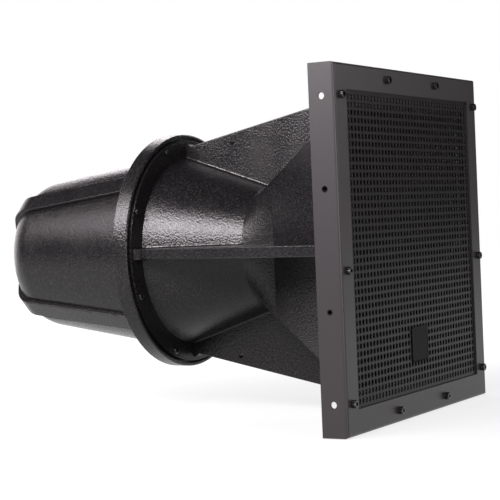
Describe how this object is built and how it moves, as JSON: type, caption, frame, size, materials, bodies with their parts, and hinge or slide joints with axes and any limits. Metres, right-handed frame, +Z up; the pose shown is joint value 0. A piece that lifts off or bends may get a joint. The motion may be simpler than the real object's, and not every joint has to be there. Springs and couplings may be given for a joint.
{
  "type": "pa horn speaker",
  "caption": "Weatherproof horn loudspeaker with a square steel-framed grille, a ribbed square-to-round moulded horn and a fluted rounded rear cover.",
  "frame": {"origin": "centre of the front frame's front face", "axes": "+Y to the rear along the horn's axis, +Z up, so +X is to the right seen from the front"},
  "size_m": [0.38, 0.5513, 0.38],
  "materials": {
    "frame_coat": "satin powder coat",
    "grille_coat": "satin powder coat",
    "black_steel": "black oxide",
    "zinc_steel": "zinc plated",
    "bright_steel": "stainless",
    "badge_black": "satin",
    "black_foam": "closed cell foam",
    "black_rubber": "matt",
    "surround_rubber": "satin",
    "horn_moulding": "stippled, semi-gloss",
    "cover_moulding": "stippled, semi-gloss",
    "brass": "turned",
    "cone_paper": "coated paper",
    "copper": "enamelled wire",
    "spider_cloth": "resin treated",
    "ferrite": "sintered",
    "bell_plastic": "moulded",
    "diaphragm_film": "film",
    "board_green": "solder mask",
    "film_capacitor": "wrapped film",
    "ceramic": "cement",
    "terminal_plastic": "moulded",
    "lamination": "varnished laminations",
    "gland_plastic": "moulded nylon"
  },
  "bodies": {
    "housing": {"front_frame": "frame_coat", "frame_nuts": "black_steel", "front_screws": "black_steel", "grille": "grille_coat", "badge_plate": "badge_black", "horn_body": "horn_moulding", "flange_screws": "bright_steel", "rear_cover": "cover_moulding", "gland_body": "gland_plastic", "gland_nut": "gland_plastic", "driver_gasket": "black_foam", "basket": "black_steel", "driver_screws": "black_steel", "front_plate": "zinc_steel", "magnet": "ferrite", "back_plate": "zinc_steel", "treble_bell": "bell_plastic", "treble_yoke": "zinc_steel", "treble_magnet": "ferrite", "treble_plate": "zinc_steel", "phase_plug": "bell_plastic", "treble_cap": "bell_plastic", "treble_screws": "black_steel", "crossover_board": "board_green", "board_screws": "bright_steel", "inductor_coils": "copper", "capacitors": "film_capacitor", "power_resistor": "ceramic", "terminal_block": "terminal_plastic", "transformer_core": "lamination", "transformer_winding": "copper", "gland_seal": "black_rubber", "gland_locknut": "gland_plastic", "cover_gasket": "black_rubber", "cover_inserts": "brass", "mouth_gasket": "black_foam", "mouth_inserts": "brass", "surround": "surround_rubber", "spider": "spider_cloth", "treble_suspension": "diaphragm_film"},
    "bass_cone": {"woofer_cone": "cone_paper", "voice_coil": "copper"},
    "treble_dome": {"treble_diaphragm": "diaphragm_film"}
  },
  "joints": [
    {"name": "bass_travel", "type": "slide", "parent": "housing", "child": "bass_cone", "axis": [0, 1, 0], "range_m": [-0.004, 0.004], "stiffness_N_per_m": 2000, "deforming": ["surround", "spider"]},
    {"name": "treble_travel", "type": "slide", "parent": "housing", "child": "treble_dome", "axis": [0, 1, 0], "range_m": [-0.0004, 0.0004], "stiffness_N_per_m": 500, "deforming": ["treble_suspension"]}
  ]
}
